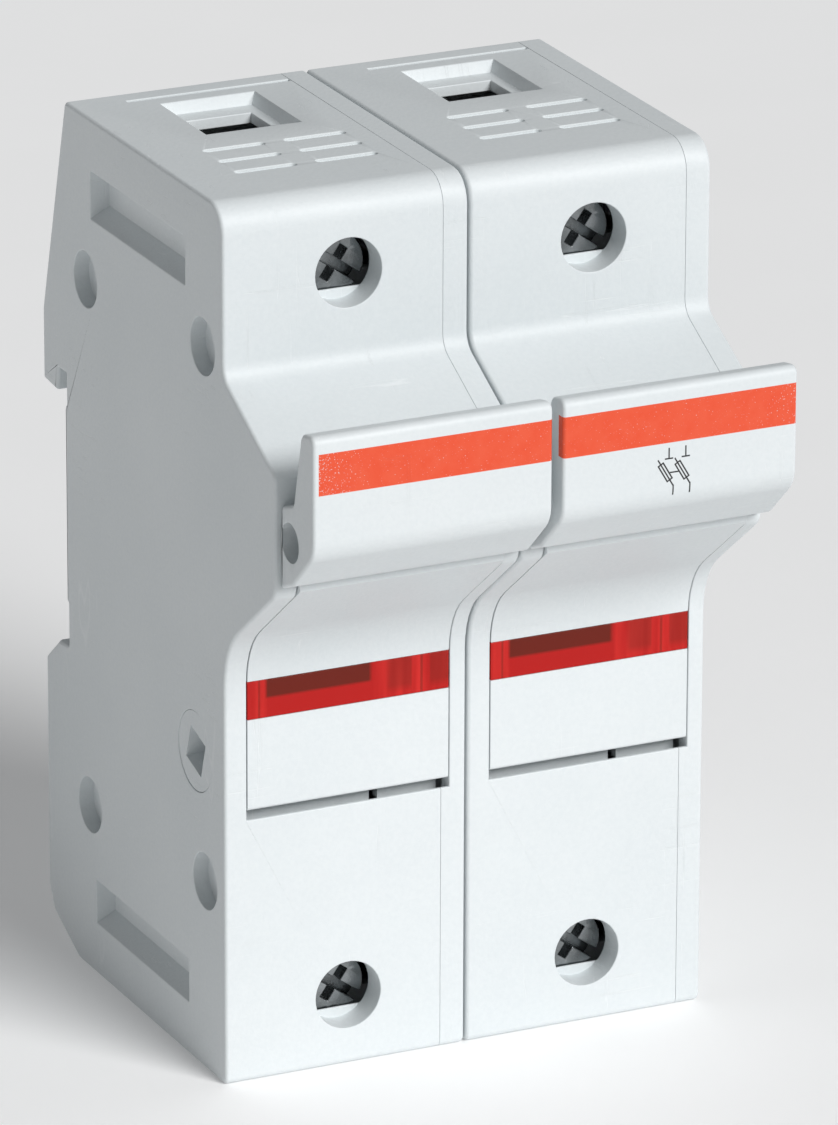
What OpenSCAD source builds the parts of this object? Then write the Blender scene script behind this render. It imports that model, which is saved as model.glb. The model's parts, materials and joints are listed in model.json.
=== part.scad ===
// Two-pole fuse holder for a 35 mm top-hat rail.
// Each pole is a moulded shell with a cover, and a carrier that tilts out of its front on two
// trunnions and brings its fuse along. X runs across the poles, the front faces -Y and Z is up.
// Shapes are drawn in a pole's own frame: x = 0 at its left edge, y = 0 at the flat front
// beside the terminals, z = 0 at the foot.

/* [Body] */
// Width of one pole with its share of the gap, two 17.5 mm modules
pole_pitch = 35; // [35:0.5:42]
// Air gap between neighbouring poles
pole_gap = 0.3; // [0.2:0.1:0.6]
// Height of the body
body_h = 121; // [119:0.5:146]
// Depth from the flat front to the face that rests on the rail
seat_y = 51.7; // [50:0.1:62]
// How far the two hooks stand out behind that face
hook_out = 7.2; // [6.4:0.1:9]
// Thickness of the front wall
front_wall = 2.5; // [2:0.1:3]
// Thickness of the shell's side wall
side_wall = 1.85; // [1.5:0.05:2.2]
// Thickness of roof and floor
roof_wall = 2.4; // [2:0.1:3]
// Thickness of the walls of the nose
nose_skin = 2; // [1.6:0.1:2.4]
// Width of the cover, seam to outer face
cover_w = 3.55; // [3.2:0.05:4.2]
// Thickness of the cover's plate
cover_wall = 1.6; // [1.2:0.1:1.9]
// Thickness of the inner walls that part the terminals from the fuse
partition_wall = 1.8; // [1.4:0.1:2.4]

/* [Nose] */
// How far the nose stands out of the flat front
nose_out = 15.9; // [13.5:0.1:17]
// Nose's upper edge above the pivot
brow_up = 46.1; // [45.5:0.1:47]
// Rise of the upper slope from the nose to the flat front
brow_rise = 8.2; // [7:0.1:10]
// Nose's lower edge above the pivot
chin_up = 29.7; // [28:0.1:30]
// Drop of the lower slope from the nose to the flat front
chin_drop = 12.3; // [11:0.1:13]

/* [Carrier] */
// Depth of the pivot behind the flat front
pivot_y = 9.4; // [9:0.1:10]
// Height of the pivot above the foot
pivot_z = 43.9; // [42:0.1:46]
// Diameter of the trunnions
trunnion_d = 10.9; // [9:0.1:11.5]
// Side of the square sockets in the trunnions
socket_w = 5; // [4:0.1:5.5]
// Carrier's lower edge below the pivot
flap_down = 5.7; // [5:0.1:6]
// Gap between the carrier's lower edge and the front wall
flap_gap = 1.3; // [1:0.1:1.6]
// Thickness of the carrier's cheeks
cheek = 1.7; // [1.4:0.1:1.7]
// Thickness of the carrier's front
carrier_wall = 2; // [1.6:0.1:2.2]
// How far the handle stands out of the flat front
handle_out = 26; // [24:0.1:30]
// Handle's top edge above the pivot
handle_up = 54.4; // [53:0.1:58]
// Diameter of the hole for the tie between the handles
tie_d = 5.3; // [4:0.1:6]
// Indicator window's lower edge above the pivot
lens_up = 6.95; // [6:0.05:8]
// Height of the indicator window
lens_h = 5.35; // [4.6:0.05:6]

/* [Fuse] */
// Diameter of the fuse
fuse_d = 20.6; // [17:0.1:20.8]
// Length of the fuse
fuse_l = 57.2; // [47.5:0.1:57.8]
// Length of each end cap
cap_l = 12.7; // [11:0.1:15]
// Depth of the fuse's axis behind the flat front
fuse_y = 18; // [17.8:0.1:18.2]
// Fuse's lower end below the pivot
fuse_down = 11.9; // [11.6:0.1:12.4]
// Thickness of the contact copper
copper = 1.4; // [1:0.1:1.5]

/* [Terminals] */
// Upper screw's axis below the roof
top_inset = 11; // [10.5:0.1:14]
// Lower screw's axis above the foot
foot_inset = 9.9; // [9.6:0.1:13]
// Diameter of the screwdriver holes
driver_d = 9.4; // [8.8:0.1:10]
// Diameter of the screws' heads
head_d = 8.4; // [7:0.1:8.6]
// Diameter of the screws' threads
thread_d = 5; // [4:0.1:6]
// Travel of a clamping cage
cage_travel = 6; // [4:0.1:6]
// Inner width of a cage
cage_w = 10.8; // [10.6:0.1:12]
// Height of a cage
cage_h = 12; // [10:0.5:12.5]
// Room for the wire behind the copper
wire_gap = 7.3; // [7:0.1:8]

/* [Rail] */
// Height of the rail's centre above the foot
rail_z = 65; // [62:0.5:72]
// Width of the rail
rail_w = 35; // [35:0.1:35.5]
// Diameter of the holes for the pins that join the poles
join_d = 7.7; // [6:0.1:8]
// Width of the sliding latch
latch_w = 15; // [12:0.5:17]
// Travel of the latch
latch_travel = 2.8; // [2.2:0.1:3.4]

/* [Hidden] */
$fn = 48;

// Clearances
running = 0.05;
slip = 0.1;
panel = 0.15;

// Widths across a pole
x_left = pole_gap / 2;
x_right = pole_pitch - pole_gap / 2;
x_inner = x_left + side_wall;
x_seam = x_right - cover_w;
x_plate = x_right - cover_wall;
x_mid = pole_pitch / 2 + 0.4;
lip = 3.15;
x_win0 = x_left + lip;
x_win1 = x_right - 2.35;
x_car0 = x_win0 + panel;
x_car1 = x_win1 - panel;

// Depths
back_y = seat_y + hook_out;
chamber_y = seat_y - 2.4;
y_centre = (back_y - handle_out) / 2;

// Heights that follow the pivot
brow_z = pivot_z + brow_up;
chin_z = pivot_z + chin_up;
car_z0 = pivot_z - flap_down;
lens_z0 = pivot_z + lens_up;
fuse_z0 = pivot_z - fuse_down;
fuse_z1 = fuse_z0 + fuse_l;
flap_r = norm([pivot_y, flap_down]);
carrier_top = brow_z - 4;

// Heights of the partitions and the screws
part_gap = 6.2;
part_low = fuse_z0 - part_gap - partition_wall;
part_high = max(fuse_z1 + part_gap, carrier_top + 1.2);
top_z = body_h - top_inset;

// Slopes of the nose
brow_m = brow_rise / nose_out;
chin_m = chin_drop / nose_out;
function brow_in(y) = brow_z + brow_rise + brow_m * y - nose_skin * norm([1, brow_m]);
function chin_in(y) = chin_z - chin_drop - chin_m * y + nose_skin * norm([1, chin_m]);

// Places of the joining holes, [y, z]
join_back = seat_y - 7.3;
join_front = 6.4;
join_at = [
    [join_back, body_h - 22.7],
    [join_front, body_h - 20.4],
    [join_back, 23.9],
    [join_front, 26.7]
];
join_round = 2.2;
join_deep = 6.4;
boss_wall = 0.8;

// Recesses in the sides, [lower, upper] edges
side_slots = [[7.5, 13.7], [body_h - 13.8, body_h - 7.2]];
slot_y0 = 11.8;
slot_y1 = seat_y - 9.2;
slot_deep = 2.6;
slot_back = 1.4;

// Terminal parts
tang_w = 10;
tang_y = 33;
head_y = 4.6;
head_l = 3.8;
shelf_wall = 1.6;
shelf_y = head_y + head_l + slip;
cage_wall = 1.7;
cage_front = 2.6;
cage_y0 = shelf_y + shelf_wall + 0.3 + cage_travel;
cage_y1 = tang_y + copper + wire_gap + cage_wall;

// Jaws
jaw_gap = 0.2;
leaf_in = fuse_d / 2 + jaw_gap;
leaf_y0 = 16;
leaf_h = 9;
leaf_inset = 1;
low_leaf = fuse_z0 + leaf_inset;
high_leaf = fuse_z1 - leaf_inset - leaf_h;

// Rail and latch
rail_edge = rail_w / 2;
groove_z = rail_z + rail_edge + 0.5;
hook_tip_z = rail_z + rail_edge - 2.8;
low_z = rail_z - rail_edge - 3.1;
land = 0.4;
land_z0 = rail_z - rail_edge + 3;
land_z1 = rail_z + rail_edge - 4;
latch_t = 3.6;
latch_y = seat_y + 1.5;
latch_z0 = latch_travel + 1.2;
nose_up = 1.8;
latch_z1 = rail_z - rail_edge + nose_up;
ledge_z = 17;
ledge_h = 3;
spring_h = 12;
spring_d = 3.8;
window_w = 4.6;

// Points of a round corner of radius r at b, between its neighbours a and c
function unit(v) = v / norm(v);
function corner(a, b, c, r, n) =
    let (
        u = unit(a - b),
        v = unit(c - b),
        half = acos(u * v) / 2,
        mid = b + unit(u + v) * r / sin(half),
        p = b + u * r / tan(half) - mid,
        q = b + v * r / tan(half) - mid,
        start = atan2(p[1], p[0]),
        sweep = atan2(q[1], q[0]) - start,
        turn = sweep > 180 ? sweep - 360 : (sweep < -180 ? sweep + 360 : sweep)
    )
    [for (i = [0:n]) mid + r * [cos(start + turn * i / n), sin(start + turn * i / n)]];

// An outline whose points [y, z, radius] get round corners
function rounded(pts, n = 6) =
    let (count = len(pts), flat = [for (p = pts) [p[0], p[1]]])
    [for (i = [0:count - 1])
        for (p = pts[i][2] > 0
            ? corner(flat[(i + count - 1) % count], flat[i], flat[(i + 1) % count], pts[i][2], n)
            : [flat[i]]) p];

// Extrudes a (y, z) outline from x0 to x1
module across(x0, x1) {
    translate([x0, 0, 0])
        rotate([90, 0, 90])
            linear_extrude(x1 - x0)
                children();
}

// Box between two corners
module block(a, b) {
    translate(a)
        cube(b - a);
}

// Round bar along Y
module bar_y(x, z, d, y0, y1) {
    translate([x, y0, z])
        rotate([-90, 0, 0])
            cylinder(h = y1 - y0, d = d);
}

// Moves a pole's own frame to the holder's frame
module pole(number) {
    translate([(number - 2) * pole_pitch, -y_centre, 0])
        children();
}

// Side outline of the housing
module outline() {
    polygon(rounded([
        [0, 0, 1],
        [seat_y - 3, 0, 4],
        [back_y - 1.7, 4, 2],
        [back_y, 7.5, 2],
        [back_y, low_z - 3.9, 0.5],
        [seat_y + 2.7, low_z - 0.2, 0.3],
        [seat_y - land, low_z, 0.3],
        [seat_y - land, land_z0, 0],
        [seat_y, land_z0, 0],
        [seat_y, land_z1, 0],
        [seat_y - land, land_z1, 0],
        [seat_y - land, groove_z, 0],
        [seat_y + 2.2, groove_z, 0],
        [seat_y + 2.7, hook_tip_z, 0.4],
        [back_y, hook_tip_z + 0.4, 0.5],
        [back_y, hook_tip_z + 10.5, 2],
        [seat_y - 0.8, body_h, 0.8],
        [0, body_h, 4],
        [0, brow_z + brow_rise, 3],
        [-nose_out, brow_z, 1.2],
        [-nose_out, chin_z, 2.5],
        [0, chin_z - chin_drop, 11]
    ]));
}

// Hollow of the housing
module cavity() {
    inner = nose_skin - nose_out;
    polygon([
        [front_wall, roof_wall],
        [chamber_y, roof_wall],
        [chamber_y, body_h - roof_wall],
        [front_wall, body_h - roof_wall],
        [front_wall, brow_in(front_wall)],
        [inner, brow_in(inner)],
        [inner, chin_in(inner)],
        [front_wall, chin_in(front_wall)]
    ]);
}

// Opening in the front that the carrier closes
module window() {
    y0 = -nose_out - 1;
    y1 = front_wall + 0.5;
    z0 = car_z0 - flap_gap;
    polygon([[y0, z0], [y1, z0], [y1, brow_in(y1)], [y0, brow_in(y0)]]);
}

// Room that the turning carrier needs at its lower edge
module flap_sweep() {
    translate([pivot_y, pivot_z])
        circle(r = flap_r + 0.3);
}

// Round hole with a half-round deeper end, and the same shape for the pins' prongs
module join_shape(gap, x0, x1, deep0, deep1) {
    across(x0, x1)
        circle(d = join_d - gap);
    across(deep0, deep1)
        intersection() {
            circle(d = join_d - gap);
            translate([-join_d, -join_d / 2])
                square([join_d - gap / 2, join_d]);
        }
}

// Joining holes seen from a side face
module join_holes(left) {
    for (at = join_at)
        translate([0, at[0], at[1]])
            if (left)
                join_shape(0, -1, x_left + join_round, -1, x_left + join_deep);
            else
                join_shape(0, x_right - join_round, x_right + 1, x_right - join_deep, x_right + 1);
}

module join_bosses(x0, x1, gap = 0) {
    for (at = join_at)
        across(x0, x1)
            translate([at[0], at[1]])
                circle(d = join_d + 2 * boss_wall + 2 * gap);
}

// Sloping-walled recess in a side face; out is the face, in the depth that it reaches
module side_recess(z0, z1, out, in) {
    step = in > out ? 1 : -1;
    hull() {
        across(min(out - step, out), max(out - step, out))
            polygon([[slot_y0, z0], [slot_y1, z0], [slot_y1, z1], [slot_y0, z1]]);
        across(min(in, in - step * 0.1), max(in, in - step * 0.1))
            polygon([[slot_y0 + 1.4, z0 + 1.6], [slot_y1 - 0.4, z0 + 1.6],
                     [slot_y1 - 0.4, z1 - 0.3], [slot_y0 + 1.4, z1 - 0.3]]);
    }
}

module recess_backs(x0, x1) {
    for (z = side_slots)
        block([x0, slot_y0 - 1.4, z[0] - 1.4], [x1, slot_y1 + 1.4, z[1] + 1.4]);
}

// Wire entry in the roof, drawn at z = 0 = the roof's outer face and pointing down
module wire_entry() {
    deep = 1.6;
    intersection() {
        across(0, pole_pitch)
            polygon([[29.5, 0.01], [34.3, -deep], [43.9, -deep], [44.6, 0.01]]);
        translate([0, 60, 0])
            rotate([90, 0, 0])
                linear_extrude(60)
                    polygon([[x_mid - 6.7, 0.01], [x_mid - 5.6, -deep],
                             [x_mid + 6.2, -deep], [x_mid + 6.9, 0.01]]);
    }
    block([x_mid - 4.7, tang_y + copper, -10], [x_mid + 4.7, tang_y + copper + 6.4, 0]);
}

// Thicker rim under the wire entry
module wire_rim() {
    block([x_mid - 6, tang_y + copper - 1.2, -roof_wall - 0.7], [x_mid + 6, tang_y + copper + 7.6, -1]);
}

module in_roof() {
    translate([0, 0, body_h])
        children();
}

module in_floor() {
    mirror([0, 0, 1])
        children();
}

// Blind vents in the roof
module vents() {
    for (row = [0:2], x = [x_mid - 10, x_mid + 1.5])
        translate([x, 13.3 + row * 4.95, -0.5])
            linear_extrude(2) {
                translate([0.6, -0.6])
                    square([7.5, 1.2]);
                for (end = [0.6, 8.1])
                    translate([end, 0])
                        circle(d = 1.2);
            }
}

// One terminal's screw shelf and cage guide, about its screw's height z
module terminal_walls(z, x0, x1) {
    difference() {
        block([x0, shelf_y, z - 8.2], [x1, shelf_y + shelf_wall, z + 9]);
        bar_y(x_mid, z, thread_d + 0.4, 0, 20);
        block([x_mid, 0, z - thread_d / 2 - 0.2], [pole_pitch, 20, z + thread_d / 2 + 0.2]);
    }
}

// Sleeve round a screwdriver hole, with a ledge across the foot of the screw's head
module driver_sleeve(z) {
    bar_y(x_mid, z, driver_d + 3, 1, head_y - 0.6);
    block([x_mid - driver_d / 2 - 1, head_y - 1, z - driver_d / 2 - 1],
          [x_mid + driver_d / 2 + 1, head_y - 0.2, z - 3.3]);
}

module cage_guides(x0, x1) {
    for (z = [foot_inset, top_z])
        block([x0, shelf_y + shelf_wall, z - 1], [x1, chamber_y + 0.2, z + 1]);
}

// Channel of the latch and the ledge in it that its spring stands on
module latch_channel() {
    w = latch_w / 2 + 0.2;
    difference() {
        block([x_mid - w, latch_y - 0.2, -1], [x_mid + w, latch_y + latch_t + 0.2, low_z + 5]);
        block([x_mid - window_w / 2 + 0.3, latch_y - 1, ledge_z],
              [x_mid + window_w / 2 - 0.3, latch_y + latch_t + 1, ledge_z + ledge_h]);
    }
}

module shell() {
    difference() {
        union() {
            difference() {
                across(x_left, x_seam - running)
                    outline();
                across(x_inner, pole_pitch)
                    cavity();
            }
            intersection() {
                across(x_inner - 0.2, x_seam - running)
                    outline();
                union() {
                    for (z = [part_low, part_high])
                        difference() {
                            block([x_left, 1, z], [pole_pitch, chamber_y + 0.2, z + partition_wall]);
                            block([x_mid - tang_w / 2 - 0.2, tang_y - 0.2, z - 1],
                                  [x_mid + tang_w / 2 + 0.2, tang_y + copper + 0.2, z + 9]);
                        }
                    for (z = [foot_inset, top_z])
                        terminal_walls(z, x_left, pole_pitch);
                    cage_guides(x_left, x_mid - cage_w / 2 - cage_wall - 0.2);
                    join_bosses(x_left, x_left + join_deep + boss_wall);
                    recess_backs(x_left, x_left + slot_deep + slot_back);
                    in_roof()
                        wire_rim();
                    in_floor()
                        wire_rim();
                    for (z = [foot_inset, top_z])
                        driver_sleeve(z);
                }
            }
        }
        across(x_win0, pole_pitch)
            window();
        across(x_win0, pole_pitch)
            flap_sweep();
        intersection() {
            join_bosses(x_right - join_deep - boss_wall - panel, x_right, panel);
            across(x_mid, pole_pitch)
                cavity();
        }
        across(-1, x_win0 + 1)
            translate([pivot_y, pivot_z])
                circle(d = trunnion_d + 2 * running);
        join_holes(true);
        for (z = side_slots)
            side_recess(z[0], z[1], x_left, x_left + slot_deep);
        for (z = [foot_inset, top_z])
            bar_y(x_mid, z, driver_d, -1, head_y - 0.6);
        in_roof()
            wire_entry();
        in_floor()
            wire_entry();
        in_roof()
            vents();
        block([x_mid - 10.2, seat_y - 4.7, body_h - 0.6], [x_mid + 13.2, seat_y - 4, body_h + 1]);
        latch_channel();
    }
}

module cover() {
    difference() {
        union() {
            difference() {
                across(x_seam, x_right)
                    outline();
                across(0, x_plate)
                    cavity();
            }
            intersection() {
                across(x_seam - 3.6, x_plate + 0.2)
                    cavity();
                union() {
                    join_bosses(x_right - join_deep - boss_wall, x_right);
                    recess_backs(x_right - slot_deep - slot_back, x_right);
                }
            }
            intersection() {
                across(x_mid, x_plate + 0.2)
                    cavity();
                cage_guides(x_mid + cage_w / 2 + cage_wall + 0.2, x_right);
            }
        }
        across(0, x_win1)
            window();
        across(0, x_win1)
            flap_sweep();
        across(x_win1 - 1, pole_pitch + 1)
            translate([pivot_y, pivot_z])
                circle(d = trunnion_d + 2 * running);
        join_holes(false);
        for (z = side_slots)
            side_recess(z[0], z[1], x_right, x_right - slot_deep);
    }
}

// Side outline of the carrier, without its handle
module carrier_outline() {
    front = -nose_out - 0.6;
    polygon(rounded([
        [0, car_z0, 0.5],
        [16, car_z0, 4],
        [fuse_y + 3.5, car_z0 + 8, 3],
        [fuse_y + 3.5, chin_z + 1.5, 5],
        [4, carrier_top, 4],
        [front, carrier_top, 0],
        [front, chin_z - chin_drop - chin_m * front, 0],
        [0, chin_z - chin_drop, 11]
    ]));
}

// Room behind the carrier's front and between its cheeks
module carrier_hollow() {
    inner = carrier_wall - nose_out;
    polygon([
        [carrier_wall, car_z0 - 1],
        [fuse_y + 10, car_z0 - 1],
        [fuse_y + 10, carrier_top - carrier_wall],
        [inner, carrier_top - carrier_wall],
        [inner, chin_in(inner)],
        [carrier_wall, chin_in(carrier_wall)]
    ]);
}

// Side outline of the handle: a thumb lip over a block that lies in front of the nose
module handle_outline() {
    root = -nose_out - 0.2;
    tip = -handle_out;
    top = pivot_z + handle_up;
    polygon(rounded([
        [root, chin_z + 1.2, 0],
        [root - 3.4, chin_z + 2.6, 2],
        [tip, chin_z + 8.6, 4.5],
        [tip, top, 1.1],
        [tip + 3.8, top - 0.7, 1.3],
        [root - 3.7, brow_z - 2.8, 1],
        [root, brow_z - 4, 0.8]
    ]));
}

rib_t = 1.6;
rib_z = [pivot_z + 3.2, pivot_z + 16.5, high_leaf - 5.2 - rib_t];
tie_y = -nose_out - 3;
tie_z = chin_z + 8.3;
tie_deep = 6.5;
handle_x0 = x_left + 0.8;
handle_x1 = x_right - 0.35;
socket_deep = 3.3;
trunnion_x0 = x_left + 0.1;
trunnion_x1 = x_right - 0.1;
socket_turn = 17;

module socket(w, x0, x1) {
    across(x0, x1)
        translate([pivot_y, pivot_z])
            rotate(socket_turn)
                square(w, center = true);
}

// Lip that closes the gap under the carrier from behind; it stays inside the flap's circle
lip_y = front_wall + 0.5;
lip_t = 1.4;
lip_drop = 2.5;

module flap_lip() {
    wide = x_car1 - x_car0;
    difference() {
        union() {
            block([x_car0 + 0.4, 1, car_z0 + 0.1], [x_car1 - 0.4, lip_y + lip_t, car_z0 + 1.5]);
            block([x_car0 + 0.4, lip_y, car_z0 - lip_drop], [x_car1 - 0.4, lip_y + lip_t, car_z0 + 1.5]);
        }
        block([x_car0 + 0.65 * wide, lip_y - 0.3, car_z0 - lip_drop - 1],
              [x_car0 + 0.69 * wide, lip_y + lip_t + 1, car_z0 + 2.5]);
    }
}

module carrier() {
    difference() {
        union() {
            difference() {
                across(x_car0, x_car1)
                    carrier_outline();
                across(x_car0 + cheek, x_car1 - cheek)
                    carrier_hollow();
            }
            intersection() {
                across(x_car0 + 0.2, x_car1 - 0.2)
                    carrier_outline();
                for (z = rib_z)
                    block([0, -nose_out, z], [pole_pitch, back_y, z + rib_t]);
            }
            across(handle_x0, handle_x1)
                handle_outline();
            flap_lip();
            for (x = [[trunnion_x0, x_car0 + 1], [x_car1 - 1, trunnion_x1]])
                across(x[0], x[1])
                    translate([pivot_y, pivot_z])
                        circle(d = trunnion_d);
        }
        translate([x_mid, fuse_y, fuse_z0 - 10])
            cylinder(h = fuse_l + 20, d = fuse_d + 0.3);
        block([x_mid - 1.9, 6.8, car_z0 - 1], [x_mid + 1.9, fuse_y, carrier_top - carrier_wall - 1]);
        block([0, -1, lens_z0], [pole_pitch, carrier_wall + 0.1, lens_z0 + lens_h]);
        socket(socket_w, -1, trunnion_x0 + socket_deep);
        socket(socket_w, trunnion_x1 - socket_deep, pole_pitch + 1);
        for (x = [[-1, handle_x0 + tie_deep], [handle_x1 - tie_deep, pole_pitch + 1]])
            across(x[0], x[1])
                translate([tie_y, tie_z])
                    circle(d = tie_d);
    }
}

module lens() {
    block([x_car0, 0, lens_z0 + running], [x_car1, carrier_wall, lens_z0 + lens_h - running]);
}

board_y = 6;
board_t = 1;
lamp_z = lens_z0 + lens_h / 2;

module lamp_board() {
    block([x_car0 + cheek + slip, board_y, lamp_z - 2], [x_mid + 3, board_y + board_t, lamp_z + 2]);
}

module neon_lamp() {
    across(x_car0 + cheek + 1.2, x_mid - 3.4)
        translate([4.1, lamp_z])
            circle(d = 3.4);
}

module resistor() {
    across(x_mid - 3, x_mid + 2)
        translate([4.6, lamp_z])
            circle(d = 2.4);
}

// Two strips that join the lamp board to the fuse's end caps
module sense_springs() {
    y = board_y + board_t + 0.1;
    for (z = [[fuse_z0 + 8, lamp_z - 1], [lamp_z + 1, fuse_z1 - 8]])
        block([x_mid - 1.4, y, z[0]], [x_mid + 1.4, y + 0.4, z[1]]);
}

module fuse_tube() {
    translate([x_mid, fuse_y, fuse_z0 + cap_l])
        cylinder(h = fuse_l - 2 * cap_l, d = fuse_d - 0.8);
}

module fuse_caps() {
    for (z = [fuse_z0, fuse_z1 - cap_l])
        translate([x_mid, fuse_y, z])
            cylinder(h = cap_l, d = fuse_d);
}

// Copper jaw that grips an end cap from both sides, with a tang down to its terminal
module jaw(leaf_z, tang_z0, tang_z1) {
    union() {
        for (side = [-1, 1])
            translate([x_mid + side * (leaf_in + copper / 2), 0, 0])
                block([-copper / 2, leaf_y0, leaf_z], [copper / 2, tang_y + copper, leaf_z + leaf_h]);
        block([x_mid - leaf_in - copper, tang_y, leaf_z],
              [x_mid + leaf_in + copper, tang_y + copper, leaf_z + leaf_h]);
        block([x_mid - tang_w / 2, tang_y, tang_z0], [x_mid + tang_w / 2, tang_y + copper, tang_z1]);
    }
}

module top_jaw() {
    jaw(high_leaf, high_leaf, body_h - 5);
}

module foot_jaw() {
    jaw(low_leaf, 4, low_leaf + leaf_h);
}

// Steel clips that press the jaws' leaves together
module jaw_springs() {
    t = 0.5;
    out = leaf_in + copper + slip + t;
    y1 = tang_y + copper + slip + t;
    for (z = [low_leaf, high_leaf])
        difference() {
            block([x_mid - out, leaf_y0 + 2, z + 2.5], [x_mid + out, y1, z + 6.5]);
            block([x_mid - out + t, 0, z], [x_mid + out - t, y1 - t, z + 9]);
        }
}

module cage(z) {
    w = cage_w / 2;
    difference() {
        block([x_mid - w - cage_wall, cage_y0, z - cage_h / 2],
              [x_mid + w + cage_wall, cage_y1, z + cage_h / 2]);
        block([x_mid - w, cage_y0 + cage_front, z - cage_h],
              [x_mid + w, cage_y1 - cage_wall, z + cage_h]);
        bar_y(x_mid, z, thread_d + 2 * running, 0, tang_y);
    }
}

module screw(z) {
    difference() {
        union() {
            bar_y(x_mid, z, head_d, head_y, head_y + head_l);
            bar_y(x_mid, z, thread_d, head_y + head_l - 0.5, tang_y - slip);
        }
        for (turn = [35, 125])
            translate([x_mid, head_y, z])
                rotate([0, turn, 0])
                    cube([turn == 35 ? head_d + 1 : 5, 4.4, 1.3], center = true);
    }
}

module latch() {
    difference() {
        across(x_mid - latch_w / 2, x_mid + latch_w / 2)
            polygon([
                [latch_y, latch_z0],
                [latch_y + latch_t, latch_z0 + 1],
                [latch_y + latch_t, latch_z1 - 4.5],
                [latch_y + 1, latch_z1],
                [latch_y, latch_z1]
            ]);
        block([x_mid - window_w / 2, 0, ledge_z - slip],
              [x_mid + window_w / 2, back_y, ledge_z + ledge_h + spring_h]);
        block([x_mid - 3, 0, latch_z0 + 2], [x_mid + 3, back_y, latch_z0 + 4.5]);
    }
}

module latch_spring() {
    translate([x_mid, latch_y + latch_t / 2, ledge_z + ledge_h + slip])
        difference() {
            cylinder(h = spring_h - 2 * slip, d = spring_d - 0.4);
            translate([0, 0, -1])
                cylinder(h = spring_h + 2, d = spring_d - 1.6);
        }
}

// Pins with half-round prongs, in the holes of the faces where two poles meet
module joining_pins() {
    gap = 0.2;
    for (at = join_at)
        translate([0, at[0], at[1]])
            join_shape(gap, x_right - join_round + slip, pole_pitch + x_left + join_round - slip,
                       x_right - join_deep + slip, pole_pitch + x_left + join_deep - slip);
}

module handle_tie() {
    across(handle_x1 - tie_deep + slip, pole_pitch + handle_x0 + tie_deep - slip)
        translate([tie_y, tie_z])
            circle(d = tie_d - 2 * running);
}

module trunnion_coupler() {
    socket(socket_w - 0.1, trunnion_x1 - socket_deep + slip,
           pole_pitch + trunnion_x0 + socket_deep - slip);
}

white = [0.93, 0.94, 0.94];
ivory = [0.9, 0.91, 0.9];

module shell_n(n) { color(white) pole(n) shell(); }
module cover_n(n) { color(ivory) pole(n) cover(); }
module carrier_n(n) { color([0.96, 0.97, 0.97]) pole(n) carrier(); }
module lens_n(n) { color([0.8, 0.13, 0.1]) pole(n) lens(); }
module lamp_board_n(n) { color("darkgreen") pole(n) lamp_board(); }
module neon_lamp_n(n) { color("orange") pole(n) neon_lamp(); }
module resistor_n(n) { color("tan") pole(n) resistor(); }
module sense_springs_n(n) { color("goldenrod") pole(n) sense_springs(); }
module fuse_tube_n(n) { color("ivory") pole(n) fuse_tube(); }
module fuse_caps_n(n) { color("silver") pole(n) fuse_caps(); }
module top_jaw_n(n) { color("peru") pole(n) top_jaw(); }
module foot_jaw_n(n) { color("peru") pole(n) foot_jaw(); }
module jaw_springs_n(n) { color("slategray") pole(n) jaw_springs(); }
module top_cage_n(n) { color("gainsboro") pole(n) cage(top_z); }
module foot_cage_n(n) { color("gainsboro") pole(n) cage(foot_inset); }
module top_screw_n(n) { color("lightgray") pole(n) screw(top_z); }
module foot_screw_n(n) { color("lightgray") pole(n) screw(foot_inset); }
module latch_n(n) { color("gray") pole(n) latch(); }
module latch_spring_n(n) { color("silver") pole(n) latch_spring(); }

shell_n(1);  // shell_1
cover_n(1);  // cover_1
carrier_n(1);  // carrier_1
lens_n(1);  // lens_1
lamp_board_n(1);  // lamp_board_1
neon_lamp_n(1);  // neon_lamp_1
resistor_n(1);  // resistor_1
sense_springs_n(1);  // sense_springs_1
fuse_tube_n(1);  // fuse_tube_1
fuse_caps_n(1);  // fuse_caps_1
top_jaw_n(1);  // top_jaw_1
foot_jaw_n(1);  // foot_jaw_1
jaw_springs_n(1);  // jaw_springs_1
top_cage_n(1);  // top_cage_1
foot_cage_n(1);  // foot_cage_1
top_screw_n(1);  // top_screw_1
foot_screw_n(1);  // foot_screw_1
latch_n(1);  // latch_1
latch_spring_n(1);  // latch_spring_1
shell_n(2);  // shell_2
cover_n(2);  // cover_2
carrier_n(2);  // carrier_2
lens_n(2);  // lens_2
lamp_board_n(2);  // lamp_board_2
neon_lamp_n(2);  // neon_lamp_2
resistor_n(2);  // resistor_2
sense_springs_n(2);  // sense_springs_2
fuse_tube_n(2);  // fuse_tube_2
fuse_caps_n(2);  // fuse_caps_2
top_jaw_n(2);  // top_jaw_2
foot_jaw_n(2);  // foot_jaw_2
jaw_springs_n(2);  // jaw_springs_2
top_cage_n(2);  // top_cage_2
foot_cage_n(2);  // foot_cage_2
top_screw_n(2);  // top_screw_2
foot_screw_n(2);  // foot_screw_2
latch_n(2);  // latch_2
latch_spring_n(2);  // latch_spring_2
color("whitesmoke") pole(1) joining_pins();
color("silver") pole(1) handle_tie();
color("dimgray") pole(1) trunnion_coupler();
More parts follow.
